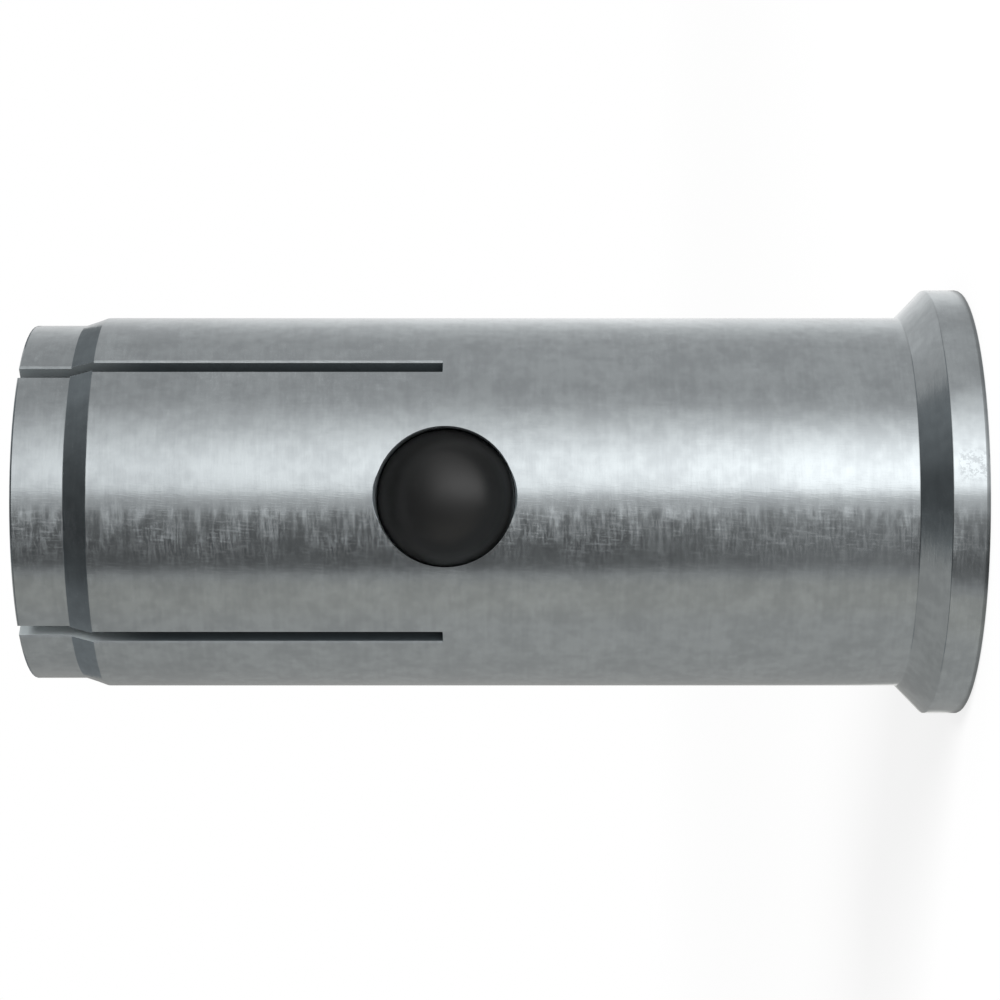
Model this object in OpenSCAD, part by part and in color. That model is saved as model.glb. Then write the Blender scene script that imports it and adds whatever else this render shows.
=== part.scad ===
// Drop-in anchor, M10 by 30, for a 12 mm drilled hole.
// It stands on its rim: z = 0 is the mouth face, the nose points up, and the axis is Z.

/* [Sleeve] */
// Length from the mouth face to the nose end (mm)
sleeve_length = 30; // [28:0.5:40]
// Outside diameter of the body (mm)
sleeve_d = 12; // [11.9:0.05:12.6]
// Outside diameter of the rim (mm)
rim_d = 13.8; // [13.2:0.1:15]
// Height of the straight part of the rim (mm)
rim_length = 1.15; // [0.8:0.05:1.6]
// Angle of the flare under the rim, from the axis (deg)
flare_angle = 46; // [35:1:60]
// Outside diameter of the nose (mm)
nose_d = 11.5; // [11.2:0.05:11.8]
// Length of the straight part of the nose (mm)
nose_length = 1.65; // [1:0.05:3]
// Length of the lead from the nose to the body (mm)
nose_lead = 0.73; // [0.4:0.01:1.5]
// Rounding of the rim's end and of the lead's two edges (mm)
edge_round = 0.14; // [0.05:0.01:0.2]
// Rounding of the flare's two edges and of the nose end (mm)
fine_round = 0.07; // [0.03:0.01:0.14]

/* [Expansion slots] */
// Width of each saw cut (mm)
slot_width = 0.42; // [0.3:0.02:0.8]
// Depth of the saw cuts from the nose end (mm)
slot_length = 13.3; // [11:0.1:15]
// Edge break along the outside of each slot (mm)
slot_break = 0.06; // [0.04:0.01:0.15]

/* [Threaded bore] */
// Nominal thread diameter, which is the diameter at the thread's root (mm)
thread_d = 10; // [9:0.1:10.4]
// Length of thread, measured from the mouth face (mm)
thread_length = 13.4; // [10:0.1:13.8]
// Countersink at the mouth (mm)
mouth_chamfer = 0.5; // [0.2:0.1:0.7]

/* [Expansion bore] */
// Diameter of the plain bore between the thread and the taper (mm)
plain_bore_d = 8.4; // [7.8:0.1:8.8]
// Diameter of the opening at the nose end (mm)
nose_bore_d = 5.6; // [5:0.1:6.4]
// Length of the straight opening at the nose end (mm)
nose_land = 1.5; // [0.8:0.1:2.5]
// Edge break at the nose opening (mm)
nose_bore_break = 0.2; // [0.1:0.05:0.3]

/* [Retaining ball] */
// Diameter of the ball (mm)
ball_d = 4.32; // [4:0.04:4.8]
// Distance from the nose end to the ball (mm)
ball_from_nose = 13.4; // [13:0.1:13.7]
// Turn of the ball from the middle of its finger (deg)
ball_turn = 1.7; // [-5:0.1:5]
// Depth of the ball's crown under the outside of the sleeve (mm)
ball_recess = 0.05; // [0.02:0.01:0.2]
// Gap all round between the ball and its hole (mm)
ball_gap = 0.02; // [0.01:0.01:0.05]
// Edge break at the outside of the ball's hole (mm)
ball_hole_break = 0.05; // [0.04:0.01:0.15]

/* [Expansion cone] */
// Length of the cone (mm)
cone_length = 7; // [5:0.1:8.5]
// Gap between the cone and the tapered bore, across the radius (mm)
cone_gap = 0.03; // [0.02:0.01:0.08]
// Gap between the back of the cone and the ball (mm)
cone_ball_gap = 0.08; // [0.04:0.01:0.2]
// Edge break at both ends of the cone (mm)
cone_break = 0.3; // [0.1:0.05:0.5]

/* [Hidden] */
$fn = 96;

sleeve_r = sleeve_d / 2;
rim_r = rim_d / 2;
nose_r = nose_d / 2;
thread_r = thread_d / 2;
plain_bore_r = plain_bore_d / 2;
nose_bore_r = nose_bore_d / 2;
ball_r = ball_d / 2;

flare_length = (rim_r - sleeve_r) / tan(flare_angle);
flare_end = rim_length + flare_length;
nose_step = sleeve_length - nose_length;
lead_start = nose_step - nose_lead;

// The ball's crown sits just under the outside of the sleeve.
ball_z = sleeve_length - ball_from_nose;
ball_centre_r = sleeve_r - ball_recess - ball_r;
ball_hole_r = ball_r + ball_gap;
ball_angle = 270 + ball_turn;

// The back of the cone waits against the ball, and the taper starts just behind it.
cone_back = ball_z + ball_r + cone_ball_gap;
cone_front = cone_back + cone_length;
taper_start = cone_back - cone_break;
taper_end = sleeve_length - nose_land;
taper_slope = (plain_bore_r - nose_bore_r) / (taper_end - taper_start);

// Length of the cone-shaped end of the thread, and of the cutters past a face.
runout_length = thread_r - plain_bore_r;
overcut = 1;

// Radius of the tapered bore at height z.
function taper_r(z) = plain_bore_r - taper_slope * (z - taper_start);

function unit(v) = v / norm(v);

// Points of an arc of the given radius that rounds one corner of an outline.
function rounded_corner(before, corner, after, radius, steps) =
    let (
        a = unit(before - corner),
        b = unit(after - corner),
        half = acos(a * b) / 2,
        centre = corner + unit(a + b) * radius / sin(half),
        first = corner + a * radius / tan(half) - centre,
        last = corner + b * radius / tan(half) - centre
    )
    [for (i = [0:steps]) centre + radius * unit(first * (1 - i / steps) + last * i / steps)];

// Outline through corners of the form [r, z, rounding]; a rounding of 0 leaves a sharp corner.
function rounded_outline(corners, steps = 4) =
    let (count = len(corners), points = [for (c = corners) [c.x, c.y]])
    [
        for (i = [0:count - 1])
            each corners[i].z == 0
                ? [points[i]]
                : rounded_corner(
                    points[(i + count - 1) % count], points[i], points[(i + 1) % count], corners[i].z, steps)
    ];

// Half-section of the sleeve: up the outside, then down the bore.
module sleeve_section() {
    polygon(rounded_outline([
        [rim_r, 0, edge_round],
        [rim_r, rim_length, fine_round],
        [sleeve_r, flare_end, fine_round],
        [sleeve_r, lead_start, edge_round],
        [nose_r, nose_step, edge_round],
        [nose_r, sleeve_length, fine_round],
        [nose_bore_r + nose_bore_break, sleeve_length, 0],
        [nose_bore_r, sleeve_length - nose_bore_break, 0],
        [nose_bore_r, taper_end, 0],
        [plain_bore_r, taper_start, 0],
        [plain_bore_r, thread_length + runout_length, 0],
        [thread_r, thread_length, 0],
        [thread_r, mouth_chamfer, 0],
        [thread_r + mouth_chamfer, 0, 0]
    ]));
}

// A cutter that breaks both outside edges of one slot, from height low to height high, on radius r.
module slot_edges(r, low, high) {
    half = slot_width / 2;
    translate([0, 0, low])
        linear_extrude(high - low)
            polygon([
                [r - slot_break, -half],
                [r + slot_break, -half - 2 * slot_break],
                [r + slot_break, half + 2 * slot_break],
                [r - slot_break, half]
            ]);
}

// Two saw cuts across the nose make four slots.
module slots() {
    slot_end = sleeve_length - slot_length;
    for (angle = [45, 135])
        rotate([0, 0, angle])
            translate([-rim_r, -slot_width / 2, slot_end])
                cube([2 * rim_r, slot_width, slot_length + overcut]);
    for (angle = [45, 135, 225, 315])
        rotate([0, 0, angle]) {
            slot_edges(sleeve_r, slot_end, lead_start);
            slot_edges(nose_r, nose_step, sleeve_length + overcut);
        }
}

// The drilled side hole for the ball, with its broken outside edge.
module ball_hole() {
    rotate([0, 0, ball_angle])
        translate([0, 0, ball_z])
            rotate([0, 90, 0]) {
                cylinder(r = ball_hole_r, h = rim_r);
                translate([0, 0, sleeve_r - ball_hole_break])
                    cylinder(r1 = ball_hole_r, r2 = ball_hole_r + overcut, h = overcut);
            }
}

module sleeve() {
    color([0.62, 0.65, 0.67])
        difference() {
            rotate_extrude() sleeve_section();
            slots();
            ball_hole();
        }
}

module expansion_cone() {
    back_r = taper_r(cone_back) - cone_gap;
    front_r = taper_r(cone_front) - cone_gap;
    shoulder_r = taper_r(cone_back + cone_break) - cone_gap;
    tip_r = taper_r(cone_front - cone_break) - cone_gap;
    color([0.52, 0.54, 0.55])
        rotate_extrude()
            polygon([
                [0, cone_back],
                [back_r - cone_break, cone_back],
                [shoulder_r, cone_back + cone_break],
                [tip_r, cone_front - cone_break],
                [front_r - cone_break, cone_front],
                [0, cone_front]
            ]);
}

module retaining_ball() {
    color([0.08, 0.08, 0.085])
        rotate([0, 0, ball_angle])
            translate([ball_centre_r, 0, ball_z])
                rotate([0, 0, 180])
                    sphere(d = ball_d);
}

sleeve();
expansion_cone();
retaining_ball();
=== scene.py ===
# %% [markdown]
# A drop-in anchor is a short steel sleeve for fixing a screw in concrete. It goes into a drilled hole,
# and a cone inside is then driven into the slotted nose, which spreads. This lesson dresses the CAD
# model of one: a zinc-plated sleeve, a plain steel cone and a black plastic ball, with a screw thread
# added in the mouth. The anchor stands on its rim at the origin, its axis is Z, and all lengths are in
# metres.

# %% Load the CAD model
import math

import bpy
import numpy as np
from mathutils import Matrix, Vector


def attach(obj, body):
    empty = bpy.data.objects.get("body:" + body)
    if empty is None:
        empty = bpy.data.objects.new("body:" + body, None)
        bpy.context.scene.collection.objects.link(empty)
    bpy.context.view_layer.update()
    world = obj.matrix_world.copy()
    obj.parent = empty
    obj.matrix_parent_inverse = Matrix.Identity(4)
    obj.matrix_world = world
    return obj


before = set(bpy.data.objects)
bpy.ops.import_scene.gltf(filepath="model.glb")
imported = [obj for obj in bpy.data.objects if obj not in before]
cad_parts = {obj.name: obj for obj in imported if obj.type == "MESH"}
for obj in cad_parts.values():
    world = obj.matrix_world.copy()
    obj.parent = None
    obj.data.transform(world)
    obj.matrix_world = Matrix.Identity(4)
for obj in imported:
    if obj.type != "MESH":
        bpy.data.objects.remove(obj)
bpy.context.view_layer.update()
scene = bpy.context.scene
MM = 0.001
MICRON = 0.001 * MM
print("nodes:", sorted(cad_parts))

# %% [markdown]
# The photograph looks straight at the side of the anchor, with the nose to the left. The anchor stands
# upright here, so the camera is level and rolled a quarter turn: the image's left is +Z and its top is
# +X. The distance and the lens were worked out from the outline: the nearer a camera is, the more the
# round ends of a sleeve bulge.

# %% Camera
CAMERA_DISTANCE = 93.53 * MM
CAMERA_HEIGHT = 14.908 * MM
CAMERA_SHIFT = 0.059 * MM
SENSOR_WIDTH = 36
LENS = 102.89

camera_data = bpy.data.cameras.new("camera")
camera_data.sensor_width = SENSOR_WIDTH
camera_data.lens = LENS
camera_data.clip_start = 0.002
camera_data.clip_end = 5
camera = bpy.data.objects.new("camera", camera_data)
scene.collection.objects.link(camera)
turn = Matrix(((0, 1, 0), (0, 0, -1), (-1, 0, 0))).to_4x4()
camera.matrix_world = Matrix.Translation((CAMERA_SHIFT, -CAMERA_DISTANCE, CAMERA_HEIGHT)) @ turn
scene.camera = camera
scene.view_settings.view_transform = "Standard"
print("camera at", [round(c / MM, 2) for c in camera.location], "mm, lens", camera_data.lens)

# %% [markdown]
# Materials are graphs of nodes. Written out node by node they are hard to read, so a small class wraps a
# node's output socket: arithmetic on it adds Math nodes, and its methods add the other kinds.

# %% A socket that can be calculated with


def grey(level):
    return (level, level, level, 1)


class Field:
    """An output socket of a node tree, such as a number or a colour at each point of a surface."""

    def __init__(self, tree, socket=None):
        self.tree = tree
        self.socket = socket

    def node(self, kind, settings=None, inputs=None, output=0):
        """Adds a node: its settings first, then its inputs by name or number. Gives the chosen output."""
        made = self.tree.nodes.new(kind)
        for name, value in (settings or {}).items():
            setattr(made, name, value)
        for name, value in (inputs or {}).items():
            if isinstance(value, Field):
                self.tree.links.new(value.socket, made.inputs[name])
            else:
                made.inputs[name].default_value = value
        return Field(self.tree, made.outputs[output] if made.outputs else None)

    def math(self, operation, *values, clamp=False):
        settings = {"operation": operation, "use_clamp": clamp}
        return self.node("ShaderNodeMath", settings, dict(enumerate(values)))

    def __add__(self, other):
        return self.math("ADD", self, other)

    def __radd__(self, other):
        return self.math("ADD", other, self)

    def __sub__(self, other):
        return self.math("SUBTRACT", self, other)

    def __rsub__(self, other):
        return self.math("SUBTRACT", other, self)

    def __mul__(self, other):
        return self.math("MULTIPLY", self, other)

    def __rmul__(self, other):
        return self.math("MULTIPLY", other, self)

    def __truediv__(self, other):
        return self.math("DIVIDE", self, other)

    def step(self, low, high):
        """0 below low, 1 above high, and a smooth rise between them."""
        settings = {"interpolation_type": "SMOOTHSTEP"}
        return self.node("ShaderNodeMapRange", settings, {"Value": self, "From Min": low, "From Max": high})

    def ramp(self, stops, low=-180, high=180):
        """The level at a value from low to high, on straight lines between stops of (value, level)."""
        ramped = self.node("ShaderNodeValToRGB", None, {0: (self - low) / (high - low)})
        elements = ramped.socket.node.color_ramp.elements
        while len(elements) < len(stops):
            elements.new(0.5)
        for element, (at, level) in zip(elements, stops):
            element.position = (at - low) / (high - low)
            element.color = grey(level)
        return ramped * 1.0

    def axis(self, name):
        """One coordinate of a vector, by its name."""
        return self.node("ShaderNodeSeparateXYZ", None, {0: self}, output=name)

    def vector(self, operation, *values, output=0):
        """A Vector Math node. Its output is a vector, or a number with the output "Value"."""
        settings = {"operation": operation}
        return self.node("ShaderNodeVectorMath", settings, dict(enumerate(values)), output)

    def scaled(self, vector, factor):
        """A vector or colour times a number."""
        settings = {"operation": "SCALE"}
        return self.node("ShaderNodeVectorMath", settings, {0: vector, "Scale": factor})

    def mix(self, factor, first, second, clamp=True):
        """The colour at a share of the way from the first to the second, or past them without clamp."""
        # A Mix node has its colours at inputs 6 and 7, and the mixed colour at output 2.
        settings = {"data_type": "RGBA", "clamp_factor": clamp}
        return self.node("ShaderNodeMix", settings, {"Factor": factor, 6: first, 7: second}, output=2)


# %% [markdown]
# A finish starts as an empty material. Its patterns depend on where a point lies on the piece, mostly on
# how far it is from the axis and on its bearing round the axis, so both have a helper.

# %% Materials


def new_finish(name):
    """An empty material, the field that its nodes are added with, and the place of a point on a piece."""
    material = bpy.data.materials.new(name)
    material.use_nodes = True
    material.node_tree.nodes.clear()
    field = Field(material.node_tree)
    return material, field, field.node("ShaderNodeTexCoord", output="Object")


def close_finish(field, surface):
    field.node("ShaderNodeOutputMaterial", None, {"Surface": surface})


def from_axis(place):
    """The distance of a point from the anchor's axis."""
    flat = place.vector("MULTIPLY", place, (1, 1, 0))
    return place.vector("LENGTH", flat, output="Value")


def bearing(place):
    """The angle round the axis from the camera's side, positive towards +X, in degrees."""
    return place.math("ARCTAN2", place.axis("X"), place.axis("Y") * -1) * (180 / math.pi)


# %% [markdown]
# A surface is a grid of points computed at once with numpy. The faces of a grid are always the same:
# each joins a point to its neighbours in the next column and row, and a direction that closes on itself
# wraps round.

# %% Meshes from grids


def grid_mesh(name, points, wrap_columns=False, capped=False):
    """A mesh through points of shape (rows, columns, 3), one quad for each cell of the grid.

    wrap_columns joins the last column to the first, and capped closes the first and last row with a face
    each.
    """
    rows, columns = points.shape[:2]
    index = np.arange(rows * columns).reshape(rows, columns)
    if wrap_columns:
        index = np.concatenate([index, index[:, :1]], axis=1)
    corners = [index[:-1, :-1], index[:-1, 1:], index[1:, 1:], index[1:, :-1]]
    faces = np.stack(corners, axis=-1).reshape(-1, 4).tolist()
    if capped:
        faces += [index[0, :columns][::-1].tolist(), index[-1, :columns].tolist()]
    mesh = bpy.data.meshes.new(name)
    mesh.from_pydata(points.reshape(-1, 3).tolist(), [], faces)
    mesh.update()
    piece = bpy.data.objects.new(name, mesh)
    scene.collection.objects.link(piece)
    return piece


def revolved(name, radii, heights, segments=96):
    """The profile (radius, height) turned round Z: point = (r cos a, r sin a, h)."""
    angle = np.linspace(0, 2 * np.pi, segments, endpoint=False)
    r = np.asarray(radii)[:, None]
    h = np.asarray(heights)[:, None]
    points = np.stack([r * np.cos(angle), r * np.sin(angle), h + 0 * angle], axis=-1)
    return grid_mesh(name, points, wrap_columns=True)


# %% [markdown]
# The studio has a white floor and a white room. A floor could be lit until it is white, but lamps as
# strong as that would also flood the ball. So the floor glows where the camera or a reflection sees it,
# and only a part of its white is a matt surface that the lamp lights, which keeps the anchor's shadow.

# %% Floor and room
NEAR_GLOW = 0.78
FLOOR_REACH = 0.2
FLOOR_WHITE = 0.97
FILL_LIGHT = 0.6


def background_rays(field):
    """1 for rays that come from the camera, a reflection or a transparent piece, and 0 for the rest."""
    kinds = [field.node("ShaderNodeLightPath", output=name)
             for name in ("Is Camera Ray", "Is Glossy Ray", "Is Transmission Ray")]
    return field.math("ADD", kinds[0] + kinds[1], kinds[2], clamp=True)


floor_finish, field, place = new_finish("white_floor")
matt = field.node("ShaderNodeBsdfDiffuse", None, {"Color": grey(FLOOR_WHITE)})
white = field.node("ShaderNodeEmission", None, {"Color": grey(1), "Strength": 1})
far = from_axis(place).step(0.02, FLOOR_REACH)
share = background_rays(field) * (NEAR_GLOW + far * (1 - NEAR_GLOW))
close_finish(field, field.node("ShaderNodeMixShader", None, {0: share, 1: matt, 2: white}))

floor = revolved("floor", [0, 0.05, FLOOR_REACH, 2], [0, 0, 0, 0])
floor.data.materials.append(floor_finish)

world = bpy.data.worlds.new("room")
world.use_nodes = True
world.node_tree.nodes.clear()
field = Field(world.node_tree)
brightness = FILL_LIGHT + background_rays(field) * (1 - FILL_LIGHT)
room = field.node("ShaderNodeBackground", None, {"Color": grey(1), "Strength": brightness})
field.node("ShaderNodeOutputWorld", None, {"Surface": room})
scene.world = world
print("floor and room are white")

# %% [markdown]
# Metal shows what stands around it, so it is the surroundings that give a steel sleeve its look. A
# photographer stands cards around the part: here a bright soft strip beside the camera, a dark one next
# to it, and grey all round. They could be single planes, but then gaps would show between them. So they
# are one tent, a skirt on the floor that rises into a dome, and only reflections see it. The lists give
# the level of each card by its bearing in degrees.

# %% Tent of cards
TENT_RADIUS = 0.25
SKIRT_RADII = [0.0067, 0.0075, 0.009, 0.012, 0.02, 0.05, 0.12]
SKIRT_LIFT = 10 * MICRON
CARD_GREYS = [
    (-180, 0.42), (-165, 0.345), (-142, 0.37), (-60, 0.385), (-50, 0.36), (-45, 0.31), (-41.5, 0.19),
    (-38, 0.135), (-30, 0.12), (-20, 0.145), (-14, 0.19), (-9, 0.25), (-4, 0.40), (66, 0.40), (90, 0.43),
    (180, 0.43),
]
BRIGHT_STRIP = [
    (-180, 0.58), (-174, 0.1), (-166, 0.0), (-6, 0.0), (-1.5, 0.08), (1, 0.14), (3, 0.22), (5.5, 0.50),
    (8, 0.76), (12, 0.86), (20, 0.96), (30, 0.84), (46, 0.42), (62, 0.08), (76, 0.0), (116, 0.0),
    (132, 0.14), (152, 0.46), (180, 0.60),
]
CARD_WARMTH = [(-180, 0.5), (-80, 0.5), (-66, 1.0), (-52, 1.0), (-44, 0.0), (180, 0.0)]
COOL_CARD = (0.998, 1.0, 1.0, 1)
WARM_CARD = (1.012, 1.0, 0.945, 1)


def only_in_reflections(card):
    card.visible_camera = False
    card.visible_diffuse = False
    card.visible_shadow = False
    card.visible_transmission = False


arc = np.radians(np.linspace(0, 89.9, 24))
tent = revolved(
    "tent",
    np.concatenate([SKIRT_RADII, TENT_RADIUS * np.cos(arc)]),
    np.concatenate([np.zeros(len(SKIRT_RADII)), TENT_RADIUS * np.sin(arc)]) + SKIRT_LIFT,
    segments=180,
)
print("tent faces:", len(tent.data.polygons))

# %% [markdown]
# The cards are not the same at all heights. The strip is brighter near the floor, because the sleeve in
# the photograph is brighter towards its rim, and the grey behind the anchor is brighter high up. On the
# skirt the cards fan out towards the anchor, because a round rim shows what is close to it at less than
# twice the angle of its own surface.

# %% Levels on the tent
FAN_RADIUS = 6.5 * MM


def glow(field, tint, level):
    """A surface that shows a tint at a level from 0, black, to 1, white."""
    return field.node("ShaderNodeEmission", None, {"Color": field.scaled(tint, level), "Strength": 1})


tent_finish, field, place = new_finish("tent_cards")
height = place.axis("Z")
distance = from_axis(place)
on_skirt = 1 - height.step(0.0, 0.004)
fan = 1 + on_skirt * (2 * distance / (2 * distance - FAN_RADIUS) - 1)
angle = field.math("MAXIMUM", field.math("MINIMUM", bearing(place) * fan, 180), -180)

# The strip, and a weak light on the floor beside it
nearness = 1 - distance / TENT_RADIUS
low = on_skirt * nearness * nearness
facing = 1 - field.math("ABSOLUTE", angle).step(43, 86)
beside_strip = angle.step(-45, -40) * (1 - angle.step(0, 36))
by_rim = 1 - distance.step(0.012, 0.03)
floor_gain = low * (0.56 * facing - 0.25) * (1 - 0.25 * by_rim)
strip_level = (1.0 - 1.35 * height / TENT_RADIUS + floor_gain) * (1 - height.step(0.07, 0.15))
strip = low * beside_strip * (0.1 - 0.07 * by_rim) + angle.ramp(BRIGHT_STRIP) * strip_level

# The grey cards
high = height.step(0.08, 0.16)
card_gain = 1 - 0.1 * height.step(0.02, 0.07) + high * angle.step(114, 144) * 0.62
card_level = angle.ramp(CARD_GREYS) * card_gain

# The floor close to the rim lies in its shade.
off_rim = distance.step(0.0069, 0.0076)
level = card_level * (0.6 + 0.4 * off_rim) + strip * (0.2 + 0.8 * off_rim)
tint = field.mix(angle.ramp(CARD_WARMTH), COOL_CARD, WARM_CARD)
close_finish(field, glow(field, tint, level))
tent.data.materials.append(tent_finish)
only_in_reflections(tent)
print("tent nodes:", len(tent_finish.node_tree.nodes))

# %% [markdown]
# The lead of the nose and the flare of the rim look up, and in the photograph both are dark. So a dark
# visor leans over the camera's side, where the lead looks. Two small wings close behind the nose darken
# the lead's far sides, and stand too high for the flare to see.

# %% Visor and wings
VISOR_RADIUS = 0.2
VISOR_BOTTOM = 30
WING_RADIUS = 0.03
WING_HEIGHT = 0.010
VISOR_GREYS = [
    (-180, 0.20), (-110, 0.20), (-85, 0.16), (-50, 0.075), (-20, 0.05), (0, 0.06), (20, 0.10), (40, 0.15),
    (60, 0.18), (85, 0.19), (180, 0.20),
]
DARK_TINT = (0.935, 1.0, 1.04)


def card_round_axis(name, swing, radius, height):
    """A card bent round the axis: point = (radius sin a, -radius cos a, height), with a bearing a."""
    a = np.radians(swing)
    x, y, z = np.broadcast_arrays(radius * np.sin(a), -radius * np.cos(a), height)
    card = grid_mesh(name, np.stack([x, y, z], axis=-1))
    finish, field, place = new_finish(name)
    close_finish(field, glow(field, DARK_TINT, bearing(place).ramp(VISOR_GREYS)))
    card.data.materials.append(finish)
    only_in_reflections(card)


swing = np.linspace(-122, 122, 80)
up = np.linspace(0, 1, 12)[:, None]
visor_top = np.interp(np.abs(swing), [0, 60, 100, 122], [62, 57, 46, 39])
rise = np.radians(VISOR_BOTTOM + up * (visor_top - VISOR_BOTTOM))
card_round_axis("visor", swing, VISOR_RADIUS * np.cos(rise), VISOR_RADIUS * np.sin(rise))
for side_name, sign in (("left", -1), ("right", 1)):
    swing = sign * np.linspace(112, 176, 24)
    bottom = np.interp(np.abs(swing), [112, 138, 157, 175], [0.0385, 0.0362, 0.0346, 0.0341])
    card_round_axis("wing_" + side_name, swing, WING_RADIUS, bottom + up * WING_HEIGHT)
print("visor and wings stand over the camera's side and behind the nose")

# %% [markdown]
# A dark card lies overhead. The lead sees its front part and the flare sees the rest, so each part has
# levels of its own, by the distance to the side in millimetres. The card ends on a slanting line over
# the anchor and is clear beyond it, because the dark on the flare ends on a slanting line in the
# photograph.

# %% Overhead card
OVERHEAD = 0.09
LEAD_GREYS = [
    (-100, 0.18), (-71, 0.133), (-60, 0.087), (-49, 0.067), (-25, 0.053), (0, 0.060), (25, 0.076),
    (49, 0.12), (71, 0.146), (100, 0.18),
]
FLARE_GREYS = [
    (-100, 0.20), (-30, 0.20), (-25, 0.17), (-20, 0.14), (-15, 0.115), (-6, 0.10), (-1, 0.080),
    (12, 0.080), (17, 0.091), (22, 0.13), (36, 0.165), (50, 0.20), (100, 0.22),
]

side, back = np.meshgrid(np.linspace(-0.09, 0.1, 2), np.linspace(-0.15, 0.06, 2))
overhead = grid_mesh("overhead_card", np.stack([side, back, 0 * side + OVERHEAD], axis=-1))
overhead_finish, field, place = new_finish("overhead_card")
x = place.axis("X")
y = place.axis("Y")
past_edge = (y - 0.29 * x + 0.003).step(-0.006, 0.006)
over_lead = (x / MM).ramp(LEAD_GREYS, -100, 100)
over_flare = (x / MM).ramp(FLARE_GREYS, -100, 100)
level = over_lead + (over_flare - over_lead) * y.step(-0.028, -0.018)
dark = glow(field, DARK_TINT, level)
clear = field.node("ShaderNodeBsdfTransparent")
close_finish(field, field.node("ShaderNodeMixShader", None, {0: past_edge, 1: dark, 2: clear}))
overhead.data.materials.append(overhead_finish)
only_in_reflections(overhead)
print("overhead card at", OVERHEAD / MM, "mm")

# %% [markdown]
# One soft lamp on the camera's side lights what is not metal: the floor and the ball. Reflections do not
# see it, because its round shape would show as a spot in the polished sleeve.

# %% Lamp


def soft_lamp(name, location, target, size, power):
    lamp_data = bpy.data.lights.new(name, "AREA")
    lamp_data.shape = "DISK"
    lamp_data.size = size
    lamp_data.energy = power
    lamp = bpy.data.objects.new(name, lamp_data)
    scene.collection.objects.link(lamp)
    lamp.location = location
    aim = Vector(target) - lamp.location
    lamp.rotation_euler = aim.to_track_quat("-Z", "Y").to_euler()
    lamp.visible_camera = False
    lamp.visible_glossy = False


soft_lamp("key_lamp", location=(0.12, -0.16, 0.2), target=(0, 0, 0.015), size=0.12, power=0.62)

# %% [markdown]
# Zinc plating is a thin blue-grey skin on turned steel. Close up it is cloudy, with faint rings from the
# lathe. It is also scuffed from being tumbled in a barrel with hundreds of others: short strokes, round
# the axis and along it, that blur what the metal reflects. They show most in dark reflections, where a
# blurred spot picks up some light. A picture wrapped round the sleeve could show all this, but it would
# have a seam and blur close up. So each pattern is a noise, squeezed in one direction.

# %% Noise on steel


def noise(place, around, along, detail=2.0, shift=0.0, slant=0.0):
    """A noise with so many cells per millimetre round the axis and along it, slanted by some degrees."""
    inputs = {"Vector": place, "Angle": math.radians(slant)}
    turned = place.node("ShaderNodeVectorRotate", {"rotation_type": "Y_AXIS"}, inputs)
    scale = (around / MM, around / MM, along / MM)
    inputs = {"Vector": turned, "Scale": scale, "Location": (shift, shift, shift)}
    mapped = place.node("ShaderNodeMapping", None, inputs)
    return place.node("ShaderNodeTexNoise", None, {"Vector": mapped, "Scale": 1.0, "Detail": detail})


# %% [markdown]
# The saw leaves dull walls in the slots, and so does the drill in the ball's hole. Those walls are faces
# of the same mesh as the sleeve, so they are found by their place: a slot's wall is half a saw cut away
# from a plane through the axis, and the hole's wall lies on a cylinder.

# %% Walls of the slots and of the ball's hole
SLOT_HALF_WIDTH = 0.21 * MM
SLOT_END = 16.7 * MM
HOLE_MIDDLE = (0, 0, 16.6 * MM)
HOLE_TURN = math.radians(1.7)
HOLE_ACROSS = (math.cos(HOLE_TURN), math.sin(HOLE_TURN), 0)
HOLE_EDGE_RADIUS = 2.23 * MM
HOLE_EDGE = 0.05 * MM
SLEEVE_RADIUS = 6 * MM


def from_hole(place):
    """The distance of a point from the axis of the ball's hole, which faces the camera but for a turn."""
    moved = place.vector("SUBTRACT", place, HOLE_MIDDLE)
    across = place.vector("DOT_PRODUCT", moved, HOLE_ACROSS, output="Value")
    up = moved.axis("Z")
    return place.math("SQRT", across * across + up * up)


def slot_walls(place):
    """1 on the walls of the slots, which lie at 45 degrees to X and Y, and 0 elsewhere."""
    x = place.axis("X")
    y = place.axis("Y")
    nearest = place.math("MINIMUM", place.math("ABSOLUTE", x - y), place.math("ABSOLUTE", x + y))
    beside = (nearest / math.sqrt(2)).step(SLOT_HALF_WIDTH + 0.5 * MICRON, SLOT_HALF_WIDTH + 2.5 * MICRON)
    return (1 - beside) * place.axis("Z").step(SLOT_END - 20 * MICRON, SLOT_END - 10 * MICRON)


def hole_walls(place):
    """Two fields: 1 on the wall of the ball's hole with its broken edge, and 1 on the wall alone."""
    beside = from_hole(place).step(HOLE_EDGE_RADIUS - 2 * MICRON, HOLE_EDGE_RADIUS + 4 * MICRON)
    near_side = 1 - place.axis("Y").step(-3.0 * MM, -2.9 * MM)
    distance = from_axis(place)
    outside = distance.step(SLEEVE_RADIUS - 12 * MICRON, SLEEVE_RADIUS - 6 * MICRON)
    wall_end = SLEEVE_RADIUS - HOLE_EDGE
    hole = (1 - beside) * near_side * (1 - outside)
    return hole, hole * (1 - distance.step(wall_end - 30 * MICRON, wall_end))


# %% [markdown]
# A CAD mesh is made of flat facets, and polished metal shows each of them. The mesh stays as it comes,
# so the finish takes the surface as truly round. Each narrow column of the scuffed side is then pressed
# a little out of round, which frays the edges of reflections.

# %% Round and frayed normals


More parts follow.
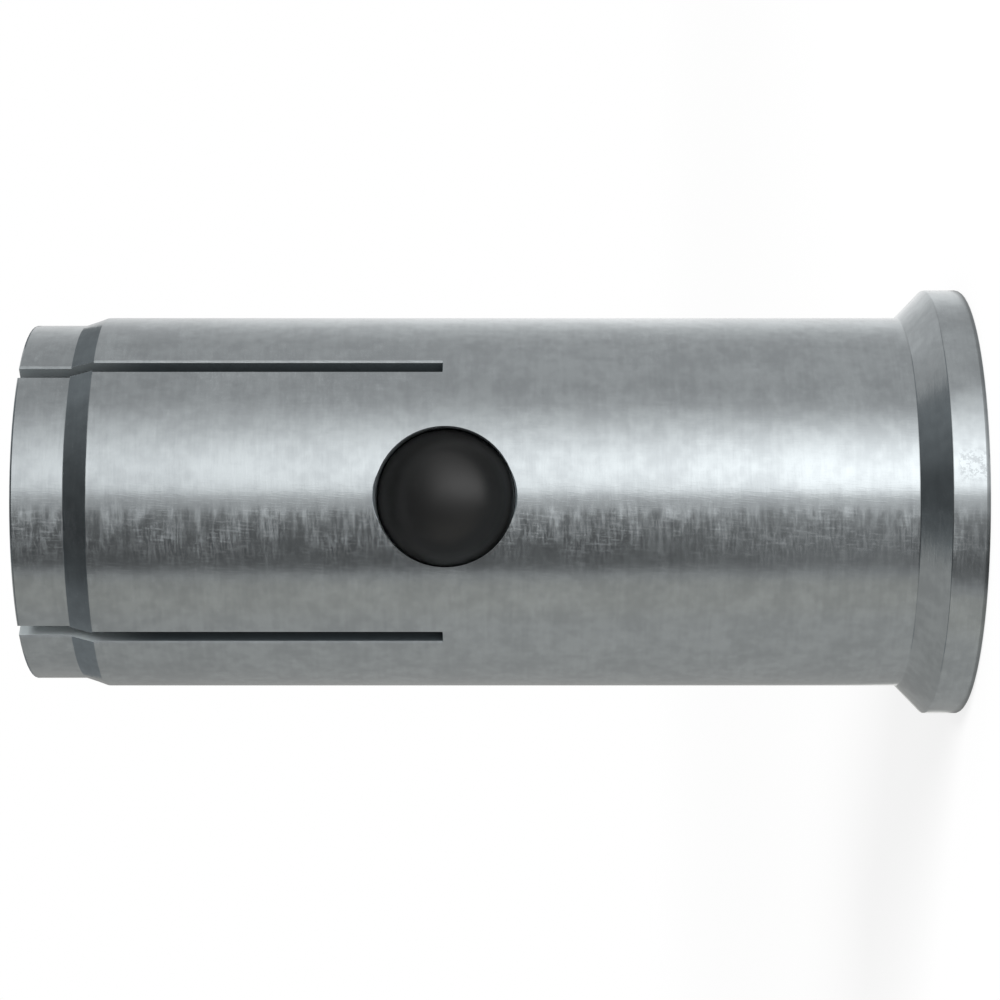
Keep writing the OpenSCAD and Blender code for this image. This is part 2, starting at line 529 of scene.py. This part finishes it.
def frayed_normal(place, normal, press):
    """The normal without what it has of the direction round the axis, and with a press in that direction.

    The walls of slots and holes lean far round the axis. There the normal stays as it is.
    """
    round_axis = place.vector("NORMALIZE", place.vector("CROSS_PRODUCT", (0, 0, 1), place))
    lean = place.vector("DOT_PRODUCT", normal, round_axis, output="Value")
    small = 1 - place.math("ABSOLUTE", lean).step(0.07, 0.11)
    even = place.vector("SUBTRACT", normal, place.scaled(round_axis, lean * small))
    return place.vector("ADD", even, place.scaled(round_axis, press * small))


# %% [markdown]
# All of it comes together in one finish, for the zinc-plated sleeve and for the plain cone. Two tones
# mix in clouds. Scuffs make the metal rougher and a little less metallic, and the finest patterns are
# also a bump of about a micron.

# %% Steel finishes
ZINC_TONES = ((0.520, 0.558, 0.578, 1), (0.621, 0.667, 0.687, 1))
STEEL_TONES = ((0.40, 0.405, 0.41, 1), (0.52, 0.52, 0.52, 1))
# Painted shade and light of the sawn walls: a dark tone for their shaded depth, a light one where painted
# light lifts them.
SAWN_SHADED_AND_LIT_TONES = ((0.074, 0.091, 0.099, 1), (0.295, 0.325, 0.335, 1))


def steel_finish(name, tones, gloss, saw_cuts=False):
    """Cloudy scuffed steel between two tones. With saw_cuts, slots and hole have dull walls with painted
    shade and light.
    """
    material, field, place = new_finish(name)
    clouds = noise(place, 0.6, 0.6, detail=3.0)
    mottle = noise(place, 2.4, 2.4)
    rings = noise(place, 0.5, 7.0, detail=3.0)
    patches = noise(place, 0.8, 0.8, detail=3.0, shift=7.3).step(0.28, 0.60)
    columns = noise(place, 1.1, 5.5, detail=4.0, shift=3.1)
    strokes_round = noise(place, 2.4, 16.0, detail=3.0, slant=2.0).step(0.44, 0.64)
    strokes_along = noise(place, 24.0, 2.0, detail=3.0, slant=-4.0).step(0.52, 0.64)

    # One side lay against its neighbours and is scuffed most. Slanted faces are sheltered.
    normal = field.node("ShaderNodeNewGeometry", output="Normal")
    tilt = field.math("ABSOLUTE", normal.axis("Z"))
    side = bearing(place)
    worn_side = side.step(-19, -9) * (1 - side.step(-4, 1))
    exposed = (0.25 + 0.75 * worn_side) * (1 - 0.9 * tilt.step(0.08, 0.25))
    scratches = strokes_round * (0.08 + 0.5 * patches) + strokes_along * (0.06 + 0.5 * patches)
    scuffs = field.math("MINIMUM", columns.step(0.46, 0.70) * 0.3 + scratches, 1.2) * exposed

    # A small patch of the rim is rubbed in specks.
    z = place.axis("Z")
    rubbed_rim = (1 - z.step(0.85 * MM, 1.05 * MM)) * side.step(4, 8) * (1 - side.step(11, 15))
    specks = rubbed_rim * noise(place, 7.0, 7.0, detail=4.0).step(0.46, 0.58)
    scuffs = scuffs + specks * 0.9

    tone = (clouds * 0.5 + mottle * 0.32 + rings * 0.18).step(0.36, 0.64) - specks * 1.2
    colour = field.mix(tone, *tones, clamp=False)
    rough = gloss + clouds * 0.04 + scuffs * 0.10
    metallic = 1.0 - 0.2 * scuffs

    # Sawn walls are dull and painted dark, as painted shade of their narrow slots. Painted light lifts them
    #     # at the nose, most on the -X side, and in the ball's hole, whose lighter wall throws more light
    #     onto the ball.
    if saw_cuts:
        hole, hole_wall = hole_walls(place)
        cut = field.math("MAXIMUM", slot_walls(place), hole)
        minus_x_side = 1 - place.axis("X").step(-1 * MM, 1 * MM)
        # Painted light: the walls are lighter at the nose, on the -X side and on the hole's wall.
        painted_wall_light = z.step(25.5 * MM, 29 * MM) * (0.75 + 0.6 * minus_x_side) + hole_wall * 0.6
        colour = field.mix(cut, colour, field.mix(painted_wall_light, *SAWN_SHADED_AND_LIT_TONES, clamp=False))
        metallic = metallic * (1 - 0.8 * cut)
        rough = rough + 0.35 * cut

    press = (columns - 0.5) * exposed * worn_side * 0.24
    height = (rings * 1.5 + mottle * 1.2 + strokes_round * 0.3 + strokes_along * 0.3) * MICRON
    inputs = {"Height": height, "Distance": 1.0, "Strength": 1.0}
    inputs["Normal"] = frayed_normal(place, normal, press)
    bump = field.node("ShaderNodeBump", None, inputs)
    inputs = {"Base Color": colour, "Metallic": metallic, "Roughness": rough, "Normal": bump}
    close_finish(field, field.node("ShaderNodeBsdfPrincipled", None, inputs))
    return material


zinc = steel_finish("zinc_plated_steel", ZINC_TONES, gloss=0.09, saw_cuts=True)
steel = steel_finish("plain_steel", STEEL_TONES, gloss=0.2)
print("finishes:", zinc.name, steel.name)

# %% [markdown]
# The ball is moulded plastic with a satin skin. Its grey rises towards its edge as painted light. An even
# black could do for a ball that lies free, but this one's edge is deep in the hole, where little light
# comes, and would be lost. The list gives the painted grey by the distance from the hole's axis in
# millimetres.

# %% Black plastic
# Painted light: greys that rise towards the ball's edge, which lies in the shade of its hole.
BALL_EDGE_PAINTED_LIGHT = [
    (0, 0.006), (1.15, 0.007), (1.3, 0.009), (1.5, 0.013), (1.7, 0.026), (1.85, 0.062), (2.0, 0.15),
    (2.16, 0.30),
]
BALL_EDGE_LIGHT_REACH = 2.2

plastic, field, place = new_finish("black_plastic")
grain = field.node("ShaderNodeTexNoise", None, {"Vector": place, "Scale": 3500.0, "Detail": 3.0})
# Painted light: the ball's grey rises towards its shaded edge.
tone = (from_hole(place) / MM).ramp(BALL_EDGE_PAINTED_LIGHT, 0, BALL_EDGE_LIGHT_REACH)
rough = 0.40 + grain * 0.08
skin = field.node("ShaderNodeBump", None, {"Height": grain * (1.5 * MICRON), "Distance": 1.0})
inputs = {"Base Color": tone, "Roughness": rough, "IOR": 1.65, "Normal": skin}
close_finish(field, field.node("ShaderNodeBsdfPrincipled", None, inputs))
print("finish:", plastic.name)

# %% [markdown]
# The three pieces come from the CAD model and keep their meshes. Each is one material on the real
# anchor, so each gets one finish.

# %% Dress the CAD nodes
finishes = {"sleeve": zinc, "expansion_cone": steel, "retaining_ball": plastic}
for node_name, finish in finishes.items():
    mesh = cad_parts[node_name].data
    mesh.materials.clear()
    mesh.materials.append(finish)
print("dressed:", list(finishes))

# %% [markdown]
# The mouth is tapped for a screw. The thread could be cut in the CAD model, but that makes a heavy solid
# for what only has to be seen. So the CAD bore stops at the root of the thread, and the thread is a
# ridge that winds up that wall: a blunt wedge, carried along a helix and fading out at both ends.

# %% Internal thread
THREAD_PITCH = 1.5 * MM
ROOT_RADIUS = 5.0 * MM
CREST_RADIUS = 4.19 * MM
THREAD_START = 0.75 * MM
THREAD_END = 13.3 * MM
FOOT_IN_WALL = 0.03 * MM
SHARP_ANGLE = math.radians(25)


def helix_ridge(name, start, end, pitch, root, crest, segments=72):
    """The ridge profile (offset along Z, radius) at angle a, raised by pitch * a / (2 pi).

    The ridge is pitch * 7/8 wide at the root and pitch / 4 at the crest. It fades over half a turn at each
    end, as fade = clip(distance to the end / half a turn, 0.02, 1).
    """
    turns = (end - start) / pitch
    angle = np.linspace(0, 2 * np.pi * turns, int(turns * segments))
    fade = np.clip(np.minimum(angle, angle[-1] - angle) / np.pi, 0.02, 1)[:, None]
    offset = pitch * np.array([-7 / 16, -1 / 8, 1 / 8, 7 / 16])
    rise = np.array([0, 1, 1, 0])
    sunk = np.array([1, 0, 0, 1]) * FOOT_IN_WALL
    radius = root + sunk - (root - crest) * rise * fade
    turned = angle[:, None]
    height = start + pitch * turned / (2 * np.pi) + offset * (0.4 + 0.6 * fade)
    points = np.stack([radius * np.cos(turned), radius * np.sin(turned), height], axis=-1)
    return grid_mesh(name, points, wrap_columns=True, capped=True)


thread = helix_ridge("internal_thread", THREAD_START, THREAD_END, THREAD_PITCH, ROOT_RADIUS, CREST_RADIUS)
thread.data.materials.append(zinc)
thread.data.polygons.foreach_set("use_smooth", np.ones(len(thread.data.polygons), dtype=bool))
thread.data.set_sharp_from_angle(angle=SHARP_ANGLE)
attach(thread, "root")
print("thread faces:", len(thread.data.polygons))
